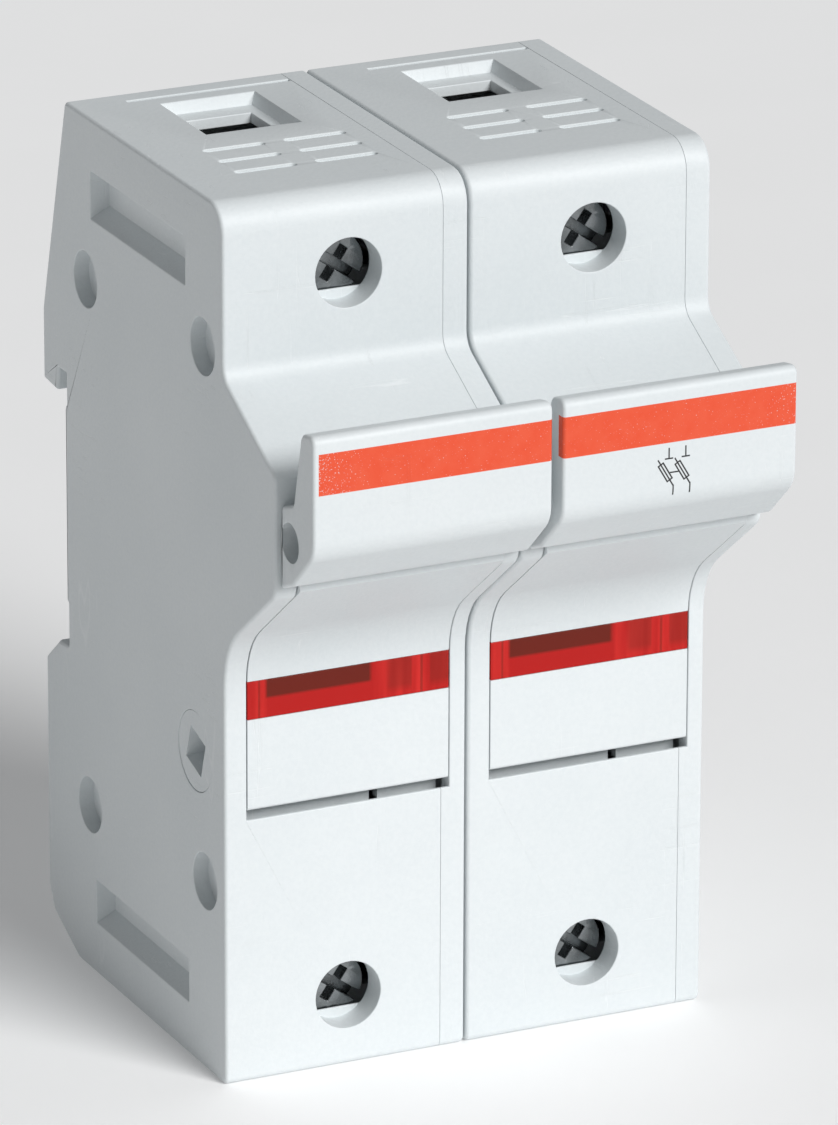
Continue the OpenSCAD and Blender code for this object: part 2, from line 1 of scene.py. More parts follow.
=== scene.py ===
# %% [markdown]
# # A two-pole fuse holder for a mounting rail
# The CAD model gives every part its exact shape, size and place, and it is loaded here as a
# fixed frame. This lesson gives those parts their looks: moulded plastic, printed marks, a
# tinted window, plated metal and wound springs. Nothing in the frame is moved, so each step
# only adds finishes, modifiers or pieces that are built where the CAD model says.
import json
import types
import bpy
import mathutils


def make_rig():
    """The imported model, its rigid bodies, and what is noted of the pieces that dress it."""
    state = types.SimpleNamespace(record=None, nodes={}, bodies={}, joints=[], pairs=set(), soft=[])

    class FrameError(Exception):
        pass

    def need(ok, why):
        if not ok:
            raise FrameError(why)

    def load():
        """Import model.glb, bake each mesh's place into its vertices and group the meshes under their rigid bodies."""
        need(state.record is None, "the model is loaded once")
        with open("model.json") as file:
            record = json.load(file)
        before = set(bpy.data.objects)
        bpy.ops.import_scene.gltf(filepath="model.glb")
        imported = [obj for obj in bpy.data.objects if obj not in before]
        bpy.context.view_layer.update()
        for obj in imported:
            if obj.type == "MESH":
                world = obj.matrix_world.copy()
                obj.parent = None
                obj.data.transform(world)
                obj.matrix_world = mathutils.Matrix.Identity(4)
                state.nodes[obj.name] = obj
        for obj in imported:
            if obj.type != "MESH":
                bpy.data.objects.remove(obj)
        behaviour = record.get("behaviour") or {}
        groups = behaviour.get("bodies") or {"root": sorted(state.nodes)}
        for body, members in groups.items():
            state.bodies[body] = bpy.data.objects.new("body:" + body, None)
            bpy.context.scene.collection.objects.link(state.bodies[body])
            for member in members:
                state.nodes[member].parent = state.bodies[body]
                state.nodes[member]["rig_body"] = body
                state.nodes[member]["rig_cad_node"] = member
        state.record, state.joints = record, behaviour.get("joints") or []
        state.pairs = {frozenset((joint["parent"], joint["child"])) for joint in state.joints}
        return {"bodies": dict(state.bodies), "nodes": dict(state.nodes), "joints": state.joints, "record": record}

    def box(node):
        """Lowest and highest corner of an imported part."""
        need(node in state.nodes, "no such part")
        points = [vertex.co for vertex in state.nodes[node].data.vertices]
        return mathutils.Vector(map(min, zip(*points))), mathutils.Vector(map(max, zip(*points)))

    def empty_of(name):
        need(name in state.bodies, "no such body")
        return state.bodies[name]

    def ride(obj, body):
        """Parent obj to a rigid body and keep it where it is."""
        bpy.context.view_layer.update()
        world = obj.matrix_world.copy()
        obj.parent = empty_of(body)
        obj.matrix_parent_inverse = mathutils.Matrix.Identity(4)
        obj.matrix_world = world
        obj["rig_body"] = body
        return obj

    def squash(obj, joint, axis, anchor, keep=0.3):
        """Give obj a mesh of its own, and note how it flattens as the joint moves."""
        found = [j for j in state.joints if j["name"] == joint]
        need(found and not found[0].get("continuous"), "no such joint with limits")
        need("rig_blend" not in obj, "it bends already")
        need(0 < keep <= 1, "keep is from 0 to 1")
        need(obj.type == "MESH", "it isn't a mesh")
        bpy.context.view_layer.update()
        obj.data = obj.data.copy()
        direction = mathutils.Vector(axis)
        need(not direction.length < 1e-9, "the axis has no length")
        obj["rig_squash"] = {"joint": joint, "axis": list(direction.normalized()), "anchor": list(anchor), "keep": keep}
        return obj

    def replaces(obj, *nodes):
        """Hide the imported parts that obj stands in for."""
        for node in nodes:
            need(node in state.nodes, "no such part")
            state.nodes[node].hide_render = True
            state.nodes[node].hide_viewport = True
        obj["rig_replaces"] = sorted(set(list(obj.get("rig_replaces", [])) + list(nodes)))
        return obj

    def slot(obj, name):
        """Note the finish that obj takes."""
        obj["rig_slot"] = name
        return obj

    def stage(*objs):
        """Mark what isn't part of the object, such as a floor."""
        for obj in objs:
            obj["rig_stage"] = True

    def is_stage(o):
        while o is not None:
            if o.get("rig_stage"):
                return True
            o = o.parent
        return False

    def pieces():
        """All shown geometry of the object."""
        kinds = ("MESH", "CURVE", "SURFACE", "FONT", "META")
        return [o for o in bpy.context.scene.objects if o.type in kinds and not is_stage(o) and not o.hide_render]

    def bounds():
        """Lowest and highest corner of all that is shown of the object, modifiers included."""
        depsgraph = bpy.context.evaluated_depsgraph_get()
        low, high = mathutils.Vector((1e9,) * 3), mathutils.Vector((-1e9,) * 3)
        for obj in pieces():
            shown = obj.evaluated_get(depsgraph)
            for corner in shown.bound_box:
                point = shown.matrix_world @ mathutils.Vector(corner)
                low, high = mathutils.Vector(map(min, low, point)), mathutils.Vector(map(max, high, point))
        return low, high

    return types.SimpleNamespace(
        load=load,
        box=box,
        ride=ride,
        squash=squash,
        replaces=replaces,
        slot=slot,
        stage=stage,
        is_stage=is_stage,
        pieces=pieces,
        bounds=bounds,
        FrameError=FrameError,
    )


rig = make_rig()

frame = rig.load()
cad_box = [list(corner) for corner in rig.bounds()]
nodes = frame["nodes"]
print("parts:", len(nodes), "bodies:", len(frame["bodies"]), "joints:", len(frame["joints"]))

# %% Tools and the unit
import json
import math

import bmesh
import bpy
from mathutils import Matrix, Vector

MM = 0.001
POLES = {1: "left", 2: "right"}
print("box in mm:", [[round(v / MM, 2) for v in corner] for corner in cad_box])

# %% [markdown]
# ## Camera
# A long lens from over a metre away keeps the upright edges almost parallel, as they are in a
# catalogue picture. The camera is placed by the angles of its line of sight, because those
# stay easy to read: how far it stands to the left, how high, and a hair of roll.

# %% Place the camera
AZIMUTH, ELEVATION, ROLL = -25.311, 19.938, 0.19
DISTANCE = 1245.8 * MM
LENS = 299.8
AIM = Vector((0, 8.55, 60)) * MM
AIM_RIGHT, AIM_UP = 4.348 * MM, -0.314 * MM

turn, lift, roll = (math.radians(a) for a in (AZIMUTH, ELEVATION, ROLL))
back = Vector((math.sin(turn) * math.cos(lift), -math.cos(turn) * math.cos(lift), math.sin(lift)))
level = (-back).cross(Vector((0, 0, 1))).normalized()
upright = level.cross(-back)
right = math.cos(roll) * level + math.sin(roll) * upright
up = right.cross(-back)

camera = bpy.data.objects.new("camera", bpy.data.cameras.new("camera"))
bpy.context.scene.collection.objects.link(camera)
bpy.context.scene.camera = camera
camera.data.lens = LENS
camera.data.clip_start, camera.data.clip_end = 0.05, 20
camera.matrix_world = Matrix((right, up, back)).transposed().to_4x4()
camera.location = AIM + right * AIM_RIGHT + up * AIM_UP + back * DISTANCE
print("camera at", [round(v, 3) for v in camera.location])

# %% [markdown]
# ## Shader maths
# A finish is a tree of nodes, and trees are slow to read when each link takes a line. So one
# small class wraps a node's output and lends it the arithmetic operators: writing
# `1 - mask * 0.5` adds the Math nodes by itself. Every other node comes from one method,
# which takes the node's kind, then its settings, then what goes into its sockets.

# %% A class for node outputs
class Out:
    """The output of a node, which adds a Math node for each operator used on it."""

    def __init__(self, finish, socket):
        self.finish, self.socket = finish, socket

    def math(self, operation, *values, clamp=False):
        settings = {"operation": operation, "use_clamp": clamp}
        return self.finish.node("Math", settings, dict(enumerate(values)))

    def __add__(self, other):
        return self.math("ADD", self, other)

    def __sub__(self, other):
        return self.math("SUBTRACT", self, other)

    def __rsub__(self, other):
        return self.math("SUBTRACT", other, self)

    def __mul__(self, other):
        return self.math("MULTIPLY", self, other)

    def __truediv__(self, other):
        return self.math("DIVIDE", self, other)

    def __rtruediv__(self, other):
        return self.math("DIVIDE", other, self)

    def __gt__(self, other):
        return self.math("GREATER_THAN", self, other)

    __radd__, __rmul__ = __add__, __mul__

    def step(self, start, end):
        """0 below start and 1 above end, or the other way round if end is lower."""
        return self.math("DIVIDE", self - start, end - start, clamp=True)

    def span(self, start, full, fades, end):
        """1 from full to fades, and 0 below start and above end."""
        return self.step(start, full) * self.step(end, fades)

    def most(self, other):
        return self.math("MAXIMUM", self, other)


# %% A class for finishes
class Finish:
    """A material and the nodes that it is made of."""

    def __init__(self, name):
        self.material = bpy.data.materials.new(name)
        self.material.use_nodes = True
        self.tree = self.material.node_tree
        self.tree.nodes.clear()
        self.place = self.node("TexCoord", out="Object")
        self.x, self.y, self.z = (
            self.node("SeparateXYZ", {}, {0: self.place}, out=axis) for axis in "XYZ"
        )

    def node(self, kind, settings=None, inputs=None, out=0):
        made = self.tree.nodes.new("ShaderNode" + kind)
        for name, value in (settings or {}).items():
            if name == "stops":
                ramp = made.color_ramp.elements
                for i, (position, color) in enumerate(value):
                    stop = ramp[i] if i < len(ramp) else ramp.new(position)
                    stop.position, stop.color = position, color
            else:
                setattr(made, name, value)
        for name, value in (inputs or {}).items():
            if isinstance(value, Out):
                self.tree.links.new(value.socket, made.inputs[name])
            else:
                made.inputs[name].default_value = value
        return Out(self, made.outputs[out]) if made.outputs else None

    def noise(self, size, detail=2.0, stretch=(1, 1, 1), turned=(0, 0, 0)):
        """Noise whose blotches are about size metres wide, longer along small stretches."""
        at = self.node(
            "Mapping", {}, {"Vector": self.place, "Scale": stretch, "Rotation": turned}
        )
        return self.node("TexNoise", {}, {"Vector": at, "Scale": 1 / size, "Detail": detail})

    def mix(self, share, first, second):
        """A colour between first, at share 0, and second, at share 1."""
        return self.node(
            "Mix", {"data_type": "RGBA"}, {0: share, 6: first, 7: second}, out=2
        )

    def bump(self, height, depth, onto=None):
        inputs = {"Height": height, "Distance": depth}
        if onto:
            inputs["Normal"] = onto
        return self.node("Bump", {}, inputs)

    def surface(self, **values):
        """Ends the tree in a Principled BSDF; a socket's name has _ for each space."""
        inputs = {name.replace("_", " "): value for name, value in values.items()}
        shader = self.node("BsdfPrincipled", {}, inputs)
        self.node("OutputMaterial", {}, {"Surface": shader})
        return self.material


def rgb(red, green, blue):
    return (red, green, blue, 1.0)


print("a finish starts with", len(Finish("trial").tree.nodes), "nodes")
bpy.data.materials.remove(bpy.data.materials["trial"])

# %% [markdown]
# ## Moulded plastic
# The housings, covers and carriers are moulded in one light grey-white plastic. Up close it
# isn't one colour: it drifts a little over centimetres, has a fine spark-eroded texture, and
# carries faint pale scratches from handling. Three noises at those three sizes give it, and
# the same noises feed colour, roughness and bump so that they agree with each other.

# %% Fine scratches
SCRATCH, PATCH = 4.5 * MM, 18 * MM
LEVEL, HALF_WIDTH = 0.70, 0.015


def contour(noise):
    """A thin line where the noise crosses LEVEL."""
    rises = noise.step(LEVEL - HALF_WIDTH, LEVEL)
    return rises * (1 - noise.step(LEVEL, LEVEL + HALF_WIDTH))


def scratches(finish):
    """Thin broken lines in two directions, 0 where the surface is whole."""
    one = finish.noise(SCRATCH, 1.0, stretch=(0.15, 1, 6), turned=(0.3, 0.5, 0.2))
    two = finish.noise(SCRATCH, 1.0, stretch=(6, 0.9, 0.2), turned=(-0.5, 0.25, -0.3))
    patches = finish.noise(PATCH, 1.0).step(0.52, 0.62)
    return contour(one).most(contour(two)) * patches


# %% The plastic itself
WARM_WHITE = rgb(0.76, 0.795, 0.805)
COOL_WHITE = rgb(0.70, 0.742, 0.757)
SCRATCH_WHITE = rgb(0.9, 0.92, 0.93)
DRIFT, GRAIN = 30 * MM, 0.6 * MM
GRAIN_DEPTH, SCRATCH_DEPTH = 0.03 * MM, 0.02 * MM


def moulded(name, printed=None):
    """The plastic, with a function that prints on its colour if one is given."""
    finish = Finish(name)
    drift = finish.noise(DRIFT, 3.0)
    grain = finish.noise(GRAIN, 2.0)
    marks = scratches(finish)
    shade = drift.step(0.3, 0.7) * 0.6 + grain.step(0.3, 0.7) * 0.4
    color = finish.mix(shade, WARM_WHITE, COOL_WHITE)
    color = finish.mix(marks * 0.35, color, SCRATCH_WHITE)
    if printed:
        color = printed(finish, color)
    relief = finish.bump(grain + drift * 2, GRAIN_DEPTH)
    relief = finish.bump(1 - marks, SCRATCH_DEPTH, relief)
    return finish.surface(
        Base_Color=color,
        Roughness=0.42 + drift * 0.1 + marks * 0.15,
        Normal=relief,
        Specular_IOR_Level=0.4,
    )


housing_plastic = moulded("housing_plastic")
print("housing plastic:", len(housing_plastic.node_tree.nodes), "nodes")

# %% [markdown]
# ## Printed marks
# Each handle has an orange-red band across its front, printed on with a pad. The ink is thin
# at the outer ends, where the plastic shows through in specks, and on the right handle it wraps
# a little round the front's edge. That handle also has a small wiring symbol for two linked
# fused switches. Both lie flat on the plastic, so they are a colour in the material and not a
# shape, worked out from the place on the handle.

# %% A box-shaped mask
EDGE = 0.03 * MM


def between(value, low, high):
    """1 between low and high, with an edge as sharp as print."""
    return value.span(low - EDGE, low + EDGE, high - EDGE, high + EDGE)


handle_low, handle_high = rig.box("carrier_1")
HANDLE_FRONT = handle_low.y + 0.4 * MM
HANDLE_TOP = handle_high.z
BAND_TOP, BAND_FOOT = HANDLE_TOP - 2.2 * MM, HANDLE_TOP - 7.75 * MM
print("handle top in mm:", round(HANDLE_TOP / MM, 2))

# %% The band and its worn ends
INK = rgb(0.79, 0.068, 0.018)
PALE_INK = rgb(0.82, 0.115, 0.05)
SPECK, BLOTCH = 0.18 * MM, 2 * MM
THIN = 0.4
BARE, COVERED = 0.14, 0.24
WEAR = 0.14


def band(finish, color, start, end, worn, whole, wrap=0.0):
    """The band from x start to end, worn from x whole to x worn, round an edge by wrap."""
    ends = finish.x.step(whole, worn)
    specks = finish.noise(SPECK, 0.0) - ends * WEAR
    ink = (THIN + specks.step(BARE, COVERED) * (1 - THIN)) * between(finish.x, start, end)
    ink = ink * between(finish.z, BAND_FOOT, BAND_TOP)
    ink = ink * finish.y.step(HANDLE_FRONT + wrap, HANDLE_FRONT + wrap - EDGE)
    tone = finish.mix(finish.noise(BLOTCH, 2.0), INK, PALE_INK)
    return finish.mix(ink, color, tone)


# %% The wiring symbol
# Each stroke is a box in mm: from and to across, from and to down.
BLADE = (0, 4.2, 0, 0)
FUSE, FUSE_INSIDE = (0.7, 3.25, -0.4, 0.4), (0.9, 3.05, -0.2, 0.2)
LEADS = (1.53, 1.53, -1.45, -0.1), (1.03, 2.03, -0.1, -0.1), (2.17, 2.17, 3.6, 4.85)
LINK = (1.75, 2.85, 1.82, 1.82)
SECOND_FROM, SECOND_SHIFT = 2.32 * MM, 2.4 * MM
LINE = 0.1 * MM
SLANT = math.atan2(1.8, 3.03)


def symbol(finish, left, top):
    """Two fused switches side by side, linked; left and top are the first blade's tip."""
    second = finish.x > left + SECOND_FROM
    x = finish.x - left - second * SECOND_SHIFT
    z = top - finish.z
    along = x * math.sin(SLANT) + z * math.cos(SLANT)
    across = x * math.cos(SLANT) - z * math.sin(SLANT)

    def bar(u, v, box):
        u0, u1, v0, v1 = (side * MM for side in box)
        return between(u, u0 - LINE, u1 + LINE) * between(v, v0 - LINE, v1 + LINE)

    drawn = bar(along, across, BLADE)
    drawn = drawn.most(bar(along, across, FUSE) * (1 - bar(along, across, FUSE_INSIDE)))
    for lead in LEADS:
        drawn = drawn.most(bar(x, z, lead))
    drawn = drawn.most(bar(finish.x - left, z, LINK))
    return drawn * finish.y.step(HANDLE_FRONT, HANDLE_FRONT - EDGE)


# %% Both handles
HALF_GAP = 0.15 * MM
POLE_1, POLE_2 = (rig.box(f"shell_{pole}")[0].x - HALF_GAP for pole in POLES)
LEFT_START, LEFT_END, LEFT_WORN = 1.7 * MM, 36 * MM, 7.5 * MM
RIGHT_END, RIGHT_WORN, RIGHT_BEYOND, RIGHT_WRAP = 34.3 * MM, 6 * MM, 4 * MM, 1 * MM
SYMBOL_LEFT, SYMBOL_DOWN = 14.52 * MM, 9.99 * MM
SYMBOL_INK = rgb(0.012, 0.012, 0.014)


def left_print(finish, color):
    start = POLE_1 + LEFT_START
    return band(finish, color, start, POLE_1 + LEFT_END, start, start + LEFT_WORN)


def right_print(finish, color):
    end = POLE_2 + RIGHT_END
    worn, whole = end + RIGHT_BEYOND, end - RIGHT_WORN
    color = band(finish, color, POLE_2, end, worn, whole, RIGHT_WRAP)
    drawn = symbol(finish, POLE_2 + SYMBOL_LEFT, HANDLE_TOP - SYMBOL_DOWN)
    return finish.mix(drawn, color, SYMBOL_INK)


carrier_plastic = {
    1: moulded("left_carrier_plastic", printed=left_print),
    2: moulded("right_carrier_plastic", printed=right_print),
}
print("right carrier:", len(carrier_plastic[2].node_tree.nodes), "nodes")

# %% [markdown]
# ## Tinted window
# The window is a red plastic strip. It is deep enough in colour that hardly any light comes
# back through it, so the lamp board and the walls behind show only as darker blocks with soft
# edges. Those blocks are painted shade in the finish, placed by the window's own box. Upright
# streaks come from the way the plastic flowed into its mould. They give the bump, and outside
# the board's painted shade they also paint a lighter red, which is painted light.

# %% The red window
RED = rgb(0.52, 0.01, 0.008)
LIT_RED = rgb(0.7, 0.025, 0.02)
SHADED_RED = rgb(0.15, 0.015, 0.006)
# Places across the window, as shares of its width from the left: where the painted shade of the
# lamp board, the walls and the window's edges lies, and where the streaks' painted light stops.
UNLIT = (0.08, 0.1, 0.62, 0.64)
BOARD_SHADE = (0.085, 0.1, 0.6, 0.62)
MIDDLE_WALL_SHADE, RIGHT_WALL_SHADE = (0.68, 0.71, 0.81, 0.82), (0.9, 0.91)
LEFT_EDGE_SHADE, RIGHT_EDGE_SHADE = (0.05, 0.056, 0.06, 0.065), (0.855, 0.86, 0.867, 0.872)


def tinted(name, pane):
    """A red window over the node pane, with painted shade where the lamp board and the walls behind it stand."""
    finish = Finish(name)
    low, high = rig.box(pane)
    across = (finish.x - low.x) / (high.x - low.x)
    rise = (finish.z - low.z) / (high.z - low.z)
    streaks = finish.noise(1.6 * MM, 2.0, stretch=(1, 0.2, 0.08))
    # Painted light: the flow streaks turn a lighter red, except where the board's shade is painted.
    lit = streaks.step(0.35, 0.7) * (1 - across.span(*UNLIT))
    color = finish.mix(lit, RED, LIT_RED)
    # Painted shade: the lamp board, the walls and dark lines near the window's edges darken the red.
    board = across.span(*BOARD_SHADE) * rise.step(0.48, 0.56)
    color = finish.mix(board * 0.95, color, SHADED_RED)
    wall_shade = (across.span(*MIDDLE_WALL_SHADE) + across.step(*RIGHT_WALL_SHADE)) * rise.step(0.1, 0.3)
    color = finish.mix(wall_shade * 0.4, color, SHADED_RED)
    edges = across.span(*LEFT_EDGE_SHADE) + across.span(*RIGHT_EDGE_SHADE)
    color = finish.mix(edges * 0.5, color, SHADED_RED)
    haze = finish.noise(0.8 * MM, 2.0)
    return finish.surface(
        Base_Color=color,
        Roughness=0.12 + haze * 0.1,
        Normal=finish.bump(streaks, 0.02 * MM),
        Transmission_Weight=0.12,
        Specular_IOR_Level=0.2,
        IOR=1.49,
    )


window_red = {
    pole: tinted(f"{side}_window_red", f"lens_{pole}") for pole, side in POLES.items()
}
print(", ".join(finish.name for finish in window_red.values()))

# %% [markdown]
# ## Metals
# The metal parts differ in colour, polish and the marks of how they were made: turned screws
# have rings, drawn wire and stamped sheet have lines along them. One function takes those as
# numbers, so that a new metal is one line.

# %% Plated and bare metals
POLISHED, TURNED = 0.006 * MM, 0.02 * MM


def metal(name, light, dark, rough, lines=(1, 1, 1), depth=POLISHED):
    """A metal that tarnishes from light to dark, with tool lines along small numbers."""
    finish = Finish(name)
    fine = finish.noise(0.6 * MM, 2.0, stretch=lines)
    patches = finish.noise(4 * MM, 4.0)
    color = finish.mix(patches.step(0.2, 0.8) * 0.8, light, dark)
    return finish.surface(
        Base_Color=color,
        Metallic=1.0,
        Roughness=rough + patches * 0.12 + fine * 0.08,
        Normal=finish.bump(fine, depth),
    )


METALS = {
    "terminal_steel": metal(
        "zinc_plate", rgb(0.71, 0.73, 0.74), rgb(0.5, 0.51, 0.5), 0.2, (1, 0.2, 1)
    ),
    "spring_steel": metal("spring_steel", rgb(0.6, 0.61, 0.62), rgb(0.4, 0.4, 0.41), 0.22),
    "copper": metal(
        "tinned_copper", rgb(0.8, 0.52, 0.36), rgb(0.62, 0.34, 0.2), 0.25, (0.2, 1, 1)
    ),
    "fuse_caps": metal("silver_plate", rgb(0.83, 0.82, 0.78), rgb(0.6, 0.57, 0.5), 0.18),
    "screw_steel": metal(
        "screw_steel", rgb(0.34, 0.36, 0.37), rgb(0.1, 0.105, 0.105), 0.16, depth=TURNED
    ),
    "tie_steel": metal(
        "drawn_rod", rgb(0.66, 0.66, 0.67), rgb(0.45, 0.45, 0.46), 0.25, (0.1, 1, 1)
    ),
}
print("metals:", ", ".join(METALS))

# %% [markdown]
# ## Small parts
# The rest is small and mostly inside: a wound glass-fibre fuse tube, a green board, a glass
# lamp, a lacquered resistor, the darker latch and the joining pins. Each still gets its own
# grain, because the carriers tip open and show them.

# %% Fuse tube
def wound_tube():
    """Glass fibre in resin: a cross weave under a pale gloss."""
    finish = Finish("wound_tube")
    rise = finish.noise(0.9 * MM, 1.0, stretch=(1, 1, 0.25), turned=(0.5, 0, 0))
    fall = finish.noise(0.9 * MM, 1.0, stretch=(1, 1, 0.25), turned=(-0.5, 0, 0))
    weave = rise.most(fall)
    color = finish.mix(weave.step(0.4, 0.7), rgb(0.62, 0.6, 0.5), rgb(0.8, 0.78, 0.68))
    return finish.surface(
        Base_Color=color,
        Roughness=0.3 + weave * 0.15,
        Normal=finish.bump(weave, 0.05 * MM),
        Coat_Weight=0.3,
    )


# %% Board, lamp, resistor and darker mouldings
def plain(name, light, dark, size, rough, **more):
    """A finish of one grain, size metres wide, between two colours."""
    finish = Finish(name)
    grain = finish.noise(size, 3.0)
    return finish.surface(
        Base_Color=finish.mix(grain.step(0.3, 0.7), light, dark),
        Roughness=rough + grain * 0.1,
        Normal=finish.bump(grain, 0.02 * MM),
        **more,
    )


SMALL = {
    "fuse_tube": wound_tube(),
    "circuit_board": plain(
        "board_green", rgb(0.02, 0.075, 0.04), rgb(0.012, 0.045, 0.025), 1 * MM, 0.3
    ),
    "lamp_glass": plain(
        "lamp_glass",
        rgb(0.95, 0.8, 0.68),
        rgb(0.85, 0.55, 0.35),
        2 * MM,
        0.08,
        Transmission_Weight=0.8,
    ),
    "resistor_body": plain(
        "resistor_lacquer", rgb(0.62, 0.45, 0.26), rgb(0.5, 0.34, 0.18), 1.5 * MM, 0.25
    ),
    "latch_plastic": plain(
        "latch_plastic", rgb(0.115, 0.12, 0.125), rgb(0.085, 0.09, 0.095), 0.8 * MM, 0.45
    ),
    "pin_plastic": plain(
        "pin_plastic", rgb(0.7, 0.73, 0.74), rgb(0.63, 0.66, 0.67), 0.8 * MM, 0.45
    ),
}
print("small finishes:", len(SMALL))

# %% [markdown]
# ## Finishes on the frame
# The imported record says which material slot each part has, so the slot picks the finish. The
# parts keep their exact shapes.

# %% Give each part its finish
slots = {part["node"]: part["material_slot"] for part in frame["record"]["subparts"]}
finishes = {"housing": housing_plastic, "cover": housing_plastic}
finishes.update(METALS)
finishes.update(SMALL)


def dress(name, material):
    mesh = nodes[name].data
    mesh.materials.clear()
    mesh.materials.append(material)


for name, slot in slots.items():
    if slot in ("carrier", "lens"):
        own = carrier_plastic if slot == "carrier" else window_red
        dress(name, own[int(name[-1])])
    else:
        dress(name, METALS["screw_steel"] if "screw" in name else finishes[slot])
print("dressed", len(slots), "parts")

# %% [markdown]
# ## Rounded edges
# The outer outline of each moulding has a soft edge, its small edges are almost sharp, and
# the seam between a housing and its cover is a hairline. So the Bevel modifier takes its
# width from a weight on each edge. Connected sharp edges on an outer side form loops, one
# for the outline and one for each hole or recess, and the outline is the largest loop. The
# flat faces arrive as long thin triangles, so they are joined first and then split again
# evenly, which keeps the shading next to each rounded edge clean.

# %% Find the connected edges
def loops(edges):
    """The groups of edges that hang together."""
    left = set(edges)
    while left:
        group, queue = [], [left.pop()]
        while queue:
            edge = queue.pop()
            group.append(edge)
            for other in (other for vert in edge.verts for other in vert.link_edges):
                if other in left:
                    left.remove(other)
                    queue.append(other)
        yield group


def length(edges):
    return sum(edge.calc_length() for edge in edges)


# %% Weigh the edges
SHARP = math.radians(38)
NEAR = 0.12 * MM
SAME_SPOT = 0.001 * MM
HAIRLINE = 0.07


def spots(ends):
    """A name for an edge, made of the places of its two ends."""
    return frozenset(tuple(round(c / SAME_SPOT) for c in end.co) for end in ends)


def weigh_edges(mesh, usual, sides=(), seam=None):
    """1 on the outline of each side plane, HAIRLINE on the seam and in inner corners."""
    made = bmesh.new()
    made.from_mesh(mesh)
    bmesh.ops.remove_doubles(made, verts=made.verts, dist=SAME_SPOT)
    sharp = [e for e in made.edges if len(e.link_faces) == 2 and e.calc_face_angle() > SHARP]

    def lies_at(edge, x):
        return all(abs(vert.co.x - x) < NEAR for vert in edge.verts)

    weights = {spots(e.verts): usual if e.is_convex else HAIRLINE for e in sharp}
    for x in sides:
        outline = max(loops([e for e in sharp if lies_at(e, x)]), key=length)
        weights.update((spots(edge.verts), 1.0) for edge in outline)
    if seam is not None:
        weights.update((spots(edge.verts), HAIRLINE) for edge in sharp if lies_at(edge, seam))
    made.free()
    kept = mesh.attributes.new("bevel_weight_edge", "FLOAT", "EDGE")
    for i, edge in enumerate(mesh.edges):
        kept.data[i].value = weights.get(spots(mesh.vertices[v] for v in edge.vertices), 0.0)
    return len(weights)


# %% Round the edges
FLAT = math.radians(0.4)
SEGMENTS = 3
FACE_SHARE = 90


def round_edges(piece, width):
    """Bevel by edge weight, after the flat faces are joined and split into even triangles."""
    piece.data.shade_smooth()
    weld = piece.modifiers.new("weld", "WELD")
    weld.merge_threshold = SAME_SPOT
    flats = piece.modifiers.new("flats", "DECIMATE")
    flats.decimate_type, flats.angle_limit = "DISSOLVE", FLAT
    piece.modifiers.new("split", "TRIANGULATE").ngon_method = "BEAUTY"
    bevel = piece.modifiers.new("round", "BEVEL")
    bevel.width, bevel.segments, bevel.limit_method = width, SEGMENTS, "WEIGHT"
    bevel.use_clamp_overlap = False
    bevel.loop_slide = False
    bevel.miter_outer = "MITER_ARC"
    piece.modifiers.new("shade", "WEIGHTED_NORMAL").weight = FACE_SHARE


SOFT = 0.5 * MM
EDGES, FINE_EDGES = 0.3, 0.12
HANDLE_DEPTH = 1 * MM
weighed = 0
for pole in POLES:
    shell, cover, carrier = (nodes[f"{kind}_{pole}"] for kind in ("shell", "cover", "carrier"))
    outer_left, seam = (corner.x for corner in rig.box(shell.name))
    weighed += weigh_edges(shell.data, EDGES, [outer_left], seam)
    weighed += weigh_edges(cover.data, EDGES, [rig.box(cover.name)[1].x], seam)
    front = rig.box(carrier.name)[0].y + HANDLE_DEPTH
    handle = [vert.co.x for vert in carrier.data.vertices if vert.co.y < front]
    weighed += weigh_edges(carrier.data, FINE_EDGES, [min(handle), max(handle)])
    for piece in (shell, cover, carrier):
        round_edges(piece, SOFT)
print("soft outlines", SOFT / MM, "mm,", weighed, "weighed edges")

# %% Round the small parts
# The radius of each part's edges in mm.
ROUNDING = {
    "lens": 0.1, "fuse_caps": 0.5, "top_cage": 0.3, "foot_cage": 0.3, "top_jaw": 0.2,
    "foot_jaw": 0.2, "latch": 0.3, "top_screw": 0.15, "foot_screw": 0.15, "lamp_board": 0.05,
    "jaw_springs": 0.1,
}
for kind, width in ROUNDING.items():
    for pole in POLES:
        weigh_edges(nodes[f"{kind}_{pole}"].data, 1.0)
        round_edges(nodes[f"{kind}_{pole}"], width * MM)
print("rounded", 2 * len(ROUNDING), "small parts")

# %% [markdown]
# ## Wound springs
# The CAD model holds a plain tube in place of each latch spring. A spring is a wire swept
# along a helix, and its closed ends lie flat, so the pitch is small at both ends. The mesh is
# built ring by ring, and it stands for the tube. As the latch is pulled, the spring shortens
# towards the ledge below it.

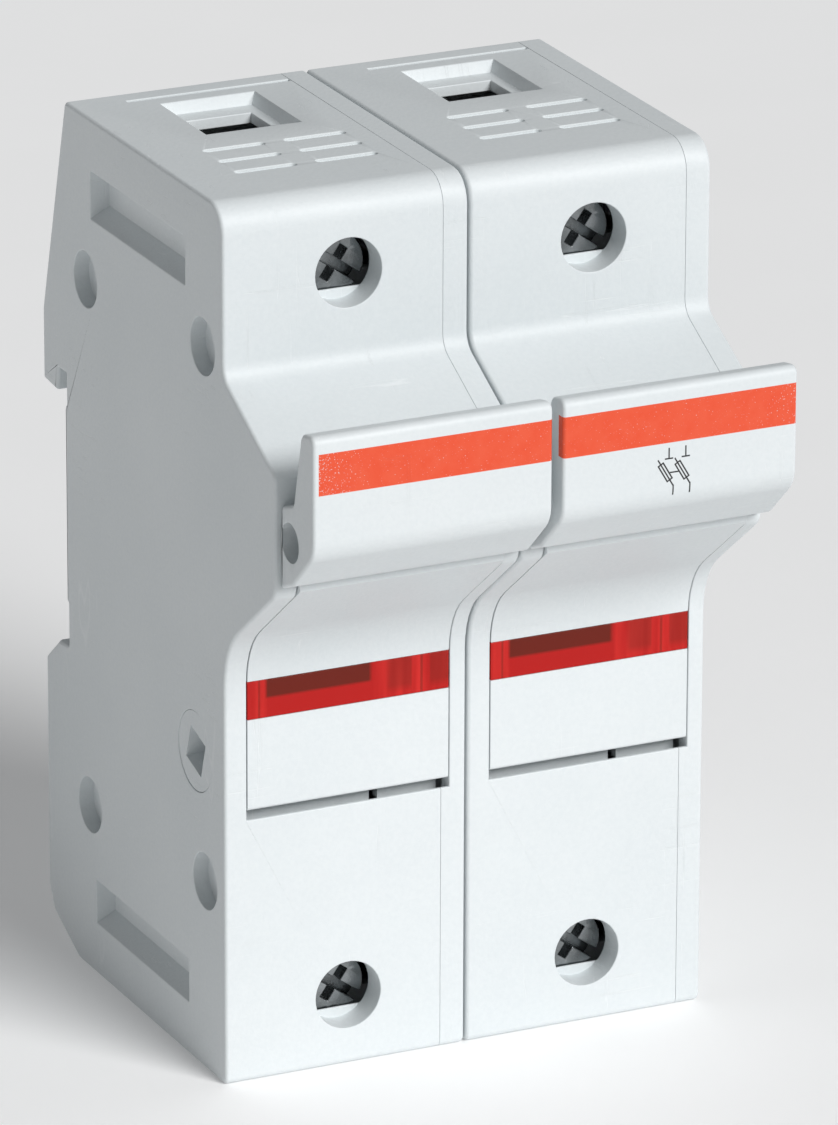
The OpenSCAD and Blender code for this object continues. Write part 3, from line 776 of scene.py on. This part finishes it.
# %% Sweep a wire along a path
def wire(name, path, radius, material, sides=8):
    """A closed tube of that radius through the points of the path."""
    made = bmesh.new()
    angles = [2 * math.pi * k / sides for k in range(sides)]
    rings, side = [], Vector((0, 0, 1))
    for i, point in enumerate(path):
        ahead = (path[min(i + 1, len(path) - 1)] - path[max(i - 1, 0)]).normalized()
        side = (side - ahead * side.dot(ahead)).normalized()
        other = ahead.cross(side)
        rings.append([
            made.verts.new(point + radius * (math.cos(a) * side + math.sin(a) * other))
            for a in angles
        ])
    for one, two in zip(rings, rings[1:]):
        for k in range(sides):
            made.faces.new((one[k], one[(k + 1) % sides], two[(k + 1) % sides], two[k]))
    made.faces.new(reversed(rings[0]))
    made.faces.new(rings[-1])
    bmesh.ops.recalc_face_normals(made, faces=made.faces)
    mesh = bpy.data.meshes.new(name)
    made.to_mesh(mesh)
    made.free()
    mesh.shade_smooth()
    mesh.materials.append(material)
    piece = bpy.data.objects.new(name, mesh)
    bpy.context.scene.collection.objects.link(piece)
    return piece


# %% Wind both latch springs
TURNS, CLOSED, WIRE = 8, 1.5, 0.3 * MM
THICK = 2 * WIRE
STEPS = 20
LATCH_TRAVEL = next(j for j in frame["joints"] if j["name"] == "left_latch_slide")["range_m"][1]

for pole, side in POLES.items():
    low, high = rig.box(f"latch_spring_{pole}")
    middle = (low + high) / 2
    radius = (high.x - low.x) / 2 - WIRE
    free = (high.z - low.z - THICK) - 2 * CLOSED * THICK
    path = []
    for i in range(TURNS * STEPS + 1):
        turns = i / STEPS
        rise = (
            min(turns, CLOSED) * THICK
            + max(0, min(turns, TURNS - CLOSED) - CLOSED) / (TURNS - 2 * CLOSED) * free
            + max(0, turns - TURNS + CLOSED) * THICK
        )
        angle = 2 * math.pi * turns
        path.append(Vector((
            middle.x + radius * math.cos(angle),
            middle.y + radius * math.sin(angle),
            low.z + WIRE + rise,
        )))
    spring = wire(f"{side}_latch_coil", path, WIRE, METALS["spring_steel"])
    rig.ride(spring, "housing")
    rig.replaces(spring, f"latch_spring_{pole}")
    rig.slot(spring, "spring_steel")
    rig.squash(
        spring,
        f"{side}_latch_slide",
        axis=(0, 0, 1),
        anchor=(middle.x, middle.y, low.z),
        keep=1 - LATCH_TRAVEL / (high.z - low.z),
    )
    print(spring.name, "is", round((high.z - low.z) / MM, 1), "mm long")

# %% [markdown]
# ## Floor and light
# The floor is a wide pale sheet that glows faintly, so that it stays bright without a stronger
# lamp. One large soft sun from the front right lights the fronts and, more flatly, the roofs.
# The pale sky and the floor fill the rest, so the left side falls into an even light grey.

# %% Lay the floor
REACH = 6.0
floor_mesh = bpy.data.meshes.new("floor")
floor_mesh.from_pydata(
    [(-REACH, -REACH, 0), (REACH, -REACH, 0), (REACH, REACH, 0), (-REACH, REACH, 0)],
    [],
    [(0, 1, 2, 3)],
)
floor = bpy.data.objects.new("floor", floor_mesh)
bpy.context.scene.collection.objects.link(floor)
paper = Finish("floor_paper")
fibre = paper.noise(30 * MM, 4.0)
floor_mesh.materials.append(
    paper.surface(
        Base_Color=paper.mix(fibre, rgb(0.9, 0.9, 0.9), rgb(0.93, 0.93, 0.93)),
        Roughness=0.85,
        Emission_Color=rgb(1, 1, 1),
        Emission_Strength=0.12,
    )
)
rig.stage(floor)
print("floor", 2 * REACH, "m wide")

# %% Light it softly
SUN_STRENGTH, SUN_SOFTNESS = 2.6, math.radians(30)
SUN_TOWARDS = Vector((-0.27, 0.76, -0.58))
SKY_STRENGTH = 0.21

sun = bpy.data.objects.new("sun", bpy.data.lights.new("sun", "SUN"))
bpy.context.scene.collection.objects.link(sun)
sun.data.energy, sun.data.angle = SUN_STRENGTH, SUN_SOFTNESS
sun.rotation_mode = "QUATERNION"
sun.rotation_quaternion = SUN_TOWARDS.to_track_quat("-Z", "Y")

world = bpy.data.worlds.new("sky")
bpy.context.scene.world = world
world.use_nodes = True
sky = world.node_tree.nodes["Background"]
sky.inputs["Color"].default_value = rgb(0.96, 0.98, 1.0)
sky.inputs["Strength"].default_value = SKY_STRENGTH
bpy.context.scene.view_settings.view_transform = "Standard"
print("sun", SUN_STRENGTH, "sky", SKY_STRENGTH)

# %% [markdown]
# ## Sizes
# The box of the finished model is written beside the CAD box, to show that the looks didn't
# change the size. The last line prints what was written.

# %% Sizes and finish
with open("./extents.json", "w") as file:
    json.dump({"cad": cad_box, "visual": [list(corner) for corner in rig.bounds()]}, file)
print(open("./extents.json").read())
